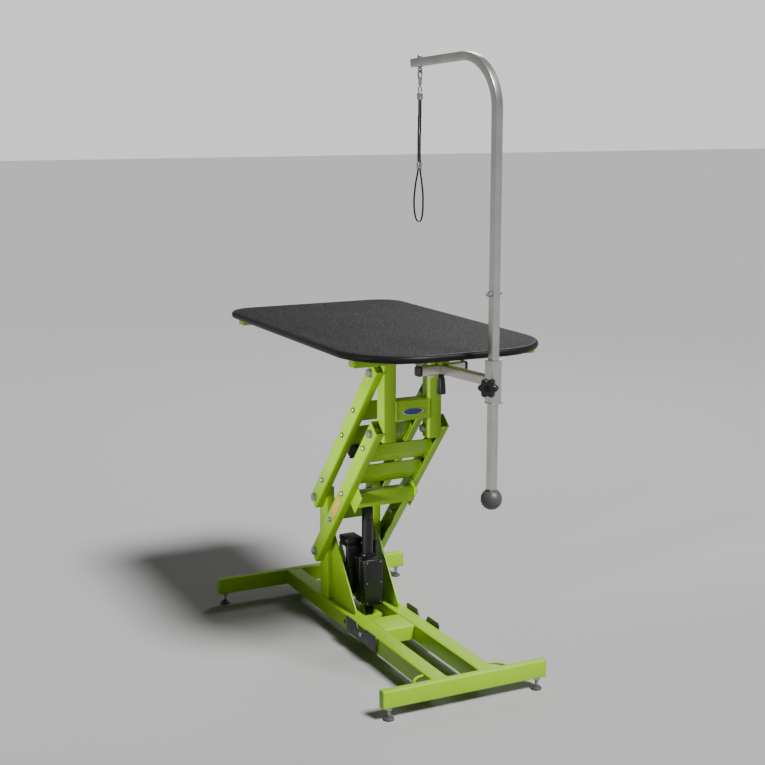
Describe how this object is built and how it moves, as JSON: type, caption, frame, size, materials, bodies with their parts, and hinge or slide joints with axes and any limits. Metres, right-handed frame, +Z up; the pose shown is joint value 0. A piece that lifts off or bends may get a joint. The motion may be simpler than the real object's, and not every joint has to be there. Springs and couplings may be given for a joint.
{
  "type": "electric grooming table",
  "caption": "Grooming table with a parallel-arm electric lift on an H-shaped base, a long rounded rubber top, and a bent grooming arm with a hanging lead.",
  "frame": {"origin": "middle of the footprint at floor level", "axes": "+Z up, +Y from the front cross bar to the rear cross bar, +X to the right seen from the front"},
  "size_m": [0.676, 1.2091, 1.7501],
  "materials": {
    "green_paint": "satin",
    "zinc": "satin",
    "grey_plastic": "matte",
    "grey_paint": "matte",
    "black_paint": "satin",
    "black_plastic": "matte",
    "label": "satin",
    "badge": "gloss",
    "plywood": "matte",
    "black_rubber": "matte",
    "satin_steel": "satin",
    "strap": "matte"
  },
  "bodies": {
    "base": {"rail_left": "green_paint", "rail_right": "green_paint", "front_bar": "green_paint", "rear_bar": "green_paint", "bar_plates": "green_paint", "mid_tie": "green_paint", "clevis_tie": "green_paint", "post_left": "green_paint", "post_right": "green_paint", "post_tie": "green_paint", "gussets": "green_paint", "corner_hoops": "green_paint", "base_pins": "zinc", "foot_nuts": "zinc", "pedal_bolts": "zinc"},
    "foot_front_left": {"foot_front_left": "grey_plastic"},
    "foot_front_right": {"foot_front_right": "grey_plastic"},
    "foot_rear_left": {"foot_rear_left": "grey_plastic"},
    "foot_rear_right": {"foot_rear_right": "grey_plastic"},
    "pedal_left": {"pedal_left": "grey_paint"},
    "pedal_right": {"pedal_right": "grey_paint"},
    "lower_arms": {"lower_arm_left": "green_paint", "lower_arm_right": "green_paint", "lower_panel_high": "green_paint", "lower_panel_low": "green_paint", "lift_channel": "green_paint", "lower_arm_bolts": "zinc", "arm_label": "label"},
    "upper_arms": {"upper_arm_left": "green_paint", "upper_arm_right": "green_paint", "upper_panel_high": "green_paint", "upper_panel_low": "green_paint", "control_box": "black_plastic", "upper_arm_bolts": "zinc"},
    "actuator": {"actuator_body": "black_paint", "actuator_motor": "black_paint"},
    "ram": {"actuator_ram": "black_paint"},
    "table": {"frame_post_left": "green_paint", "frame_post_right": "green_paint", "frame_plate": "green_paint", "frame_badge": "badge", "frame_gussets": "green_paint", "top_pins": "zinc", "under_rails": "green_paint", "under_beams": "green_paint", "top_board": "plywood", "top_cover": "black_rubber"},
    "bracket": {"bracket_tee": "satin_steel", "bracket_caps": "black_plastic", "sleeve": "satin_steel"},
    "clamp_grip": {"clamp_grip": "black_plastic"},
    "star_knob": {"star_knob": "black_plastic"},
    "grooming_arm": {"arm_upright": "satin_steel", "arm_bend": "satin_steel", "arm_reach": "satin_steel", "arm_stop": "zinc", "ball_foot": "grey_plastic"},
    "eye_bolt": {"eye_bolt": "zinc"},
    "snap_hook": {"snap_hook": "zinc", "lead": "strap"}
  },
  "joints": [
    {"name": "foot_front_left_level", "type": "slide", "parent": "base", "child": "foot_front_left", "axis": [0, 0, -1], "range_m": [-0.012, 0.015]},
    {"name": "foot_front_right_level", "type": "slide", "parent": "base", "child": "foot_front_right", "axis": [0, 0, -1], "range_m": [-0.012, 0.015]},
    {"name": "foot_rear_left_level", "type": "slide", "parent": "base", "child": "foot_rear_left", "axis": [0, 0, -1], "range_m": [-0.012, 0.015]},
    {"name": "foot_rear_right_level", "type": "slide", "parent": "base", "child": "foot_rear_right", "axis": [0, 0, -1], "range_m": [-0.012, 0.015]},
    {"name": "pedal_left_rock", "type": "hinge", "parent": "base", "child": "pedal_left", "pos_m": [-0.1035, -0.01183, 0.0655], "axis": [1, 0, 0], "range_deg": [-7, 7], "stiffness_Nm_per_rad": 20},
    {"name": "pedal_right_rock", "type": "hinge", "parent": "base", "child": "pedal_right", "pos_m": [0.1035, -0.01183, 0.0655], "axis": [1, 0, 0], "range_deg": [-7, 7], "stiffness_Nm_per_rad": 20},
    {"name": "lift", "type": "hinge", "parent": "base", "child": "lower_arms", "pos_m": [0, 0.29317, 0.24], "axis": [1, 0, 0], "range_deg": [0, 44]},
    {"name": "upper_arms_turn", "type": "hinge", "parent": "base", "child": "upper_arms", "pos_m": [0, 0.29317, 0.416], "axis": [1, 0, 0], "range_deg": [0, 44]},
    {"name": "table_level", "type": "hinge", "parent": "lower_arms", "child": "table", "pos_m": [0, -0.10769, 0.70113], "axis": [1, 0, 0], "range_deg": [-44, 0]},
    {"name": "actuator_tilt", "type": "hinge", "parent": "base", "child": "actuator", "pos_m": [0, 0.16117, 0.07], "axis": [1, 0, 0], "range_deg": [0, 24]},
    {"name": "ram_stroke", "type": "slide", "parent": "actuator", "child": "ram", "axis": [0, 0, 1], "range_m": [-0.122, 0]},
    {"name": "bracket_swing", "type": "hinge", "parent": "table", "child": "bracket", "pos_m": [-0.006, -0.31883, 0.91563], "axis": [0, 0, 1], "range_deg": [-20, 20]},
    {"name": "clamp_turn", "type": "hinge", "parent": "bracket", "child": "clamp_grip", "pos_m": [-0.006, -0.31883, 0.91563], "axis": [0, 0, 1], "continuous": true},
    {"name": "knob_turn", "type": "hinge", "parent": "bracket", "child": "star_knob", "pos_m": [0.02681, -0.53839, 0.90863], "axis": [-0.6884, -0.7254, 0], "continuous": true},
    {"name": "arm_height", "type": "slide", "parent": "bracket", "child": "grooming_arm", "axis": [0, 0, 1], "range_m": [-0.15, 0.18]},
    {"name": "eye_turn", "type": "hinge", "parent": "grooming_arm", "child": "eye_bolt", "pos_m": [-0.02168, -0.21395, 1.72757], "axis": [-0.009, 0.0604, 0.9981], "continuous": true},
    {"name": "hook_swing", "type": "hinge", "parent": "eye_bolt", "child": "snap_hook", "pos_m": [-0.02144, -0.21552, 1.70162], "axis": [0.989, 0.1478, 0], "range_deg": [-35, 35]}
  ],
  "couplings": [
    {"joint": "upper_arms_turn", "follows": "lift", "ratio": 1},
    {"joint": "table_level", "follows": "lift", "ratio": -1},
    {"joint": "actuator_tilt", "follows": "lift", "ratio": 0.537},
    {"joint": "ram_stroke", "follows": "lift", "m_per_rad": -0.1559}
  ]
}
